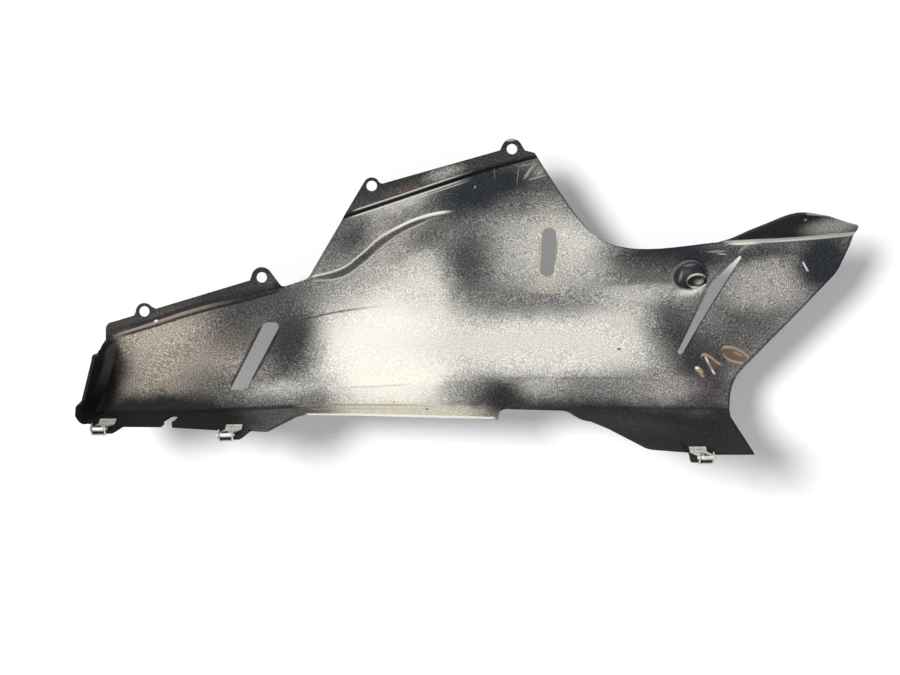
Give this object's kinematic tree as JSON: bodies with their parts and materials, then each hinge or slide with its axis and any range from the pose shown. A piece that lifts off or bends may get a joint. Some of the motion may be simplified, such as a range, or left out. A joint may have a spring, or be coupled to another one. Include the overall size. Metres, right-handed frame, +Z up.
{
  "type": "motorcycle lower fairing panel",
  "caption": "Left lower side fairing of a motorcycle: a thin moulded shell with stepped screw flanges, vent slots, a turned-in belly edge and steel spring clips.",
  "frame": {"origin": "midway between the two screw holes of the upper flange, in the middle of the wall", "axes": "+X forward along the motorcycle, +Y outward to the painted side, +Z up; the inner face seen in the picture looks along -Y"},
  "size_m": [0.7741, 0.1096, 0.3189],
  "materials": {
    "shell_plastic": "cream moulding with black overspray inside, gloss black outside",
    "clip_steel": "bright zinc"
  },
  "bodies": {
    "root": {"fairing_shell": "shell_plastic", "rear_clip": "clip_steel", "rear_clip_bar": "clip_steel", "middle_clip": "clip_steel", "middle_clip_bar": "clip_steel", "front_clip": "clip_steel", "front_clip_bar": "clip_steel"}
  },
  "joints": []
}
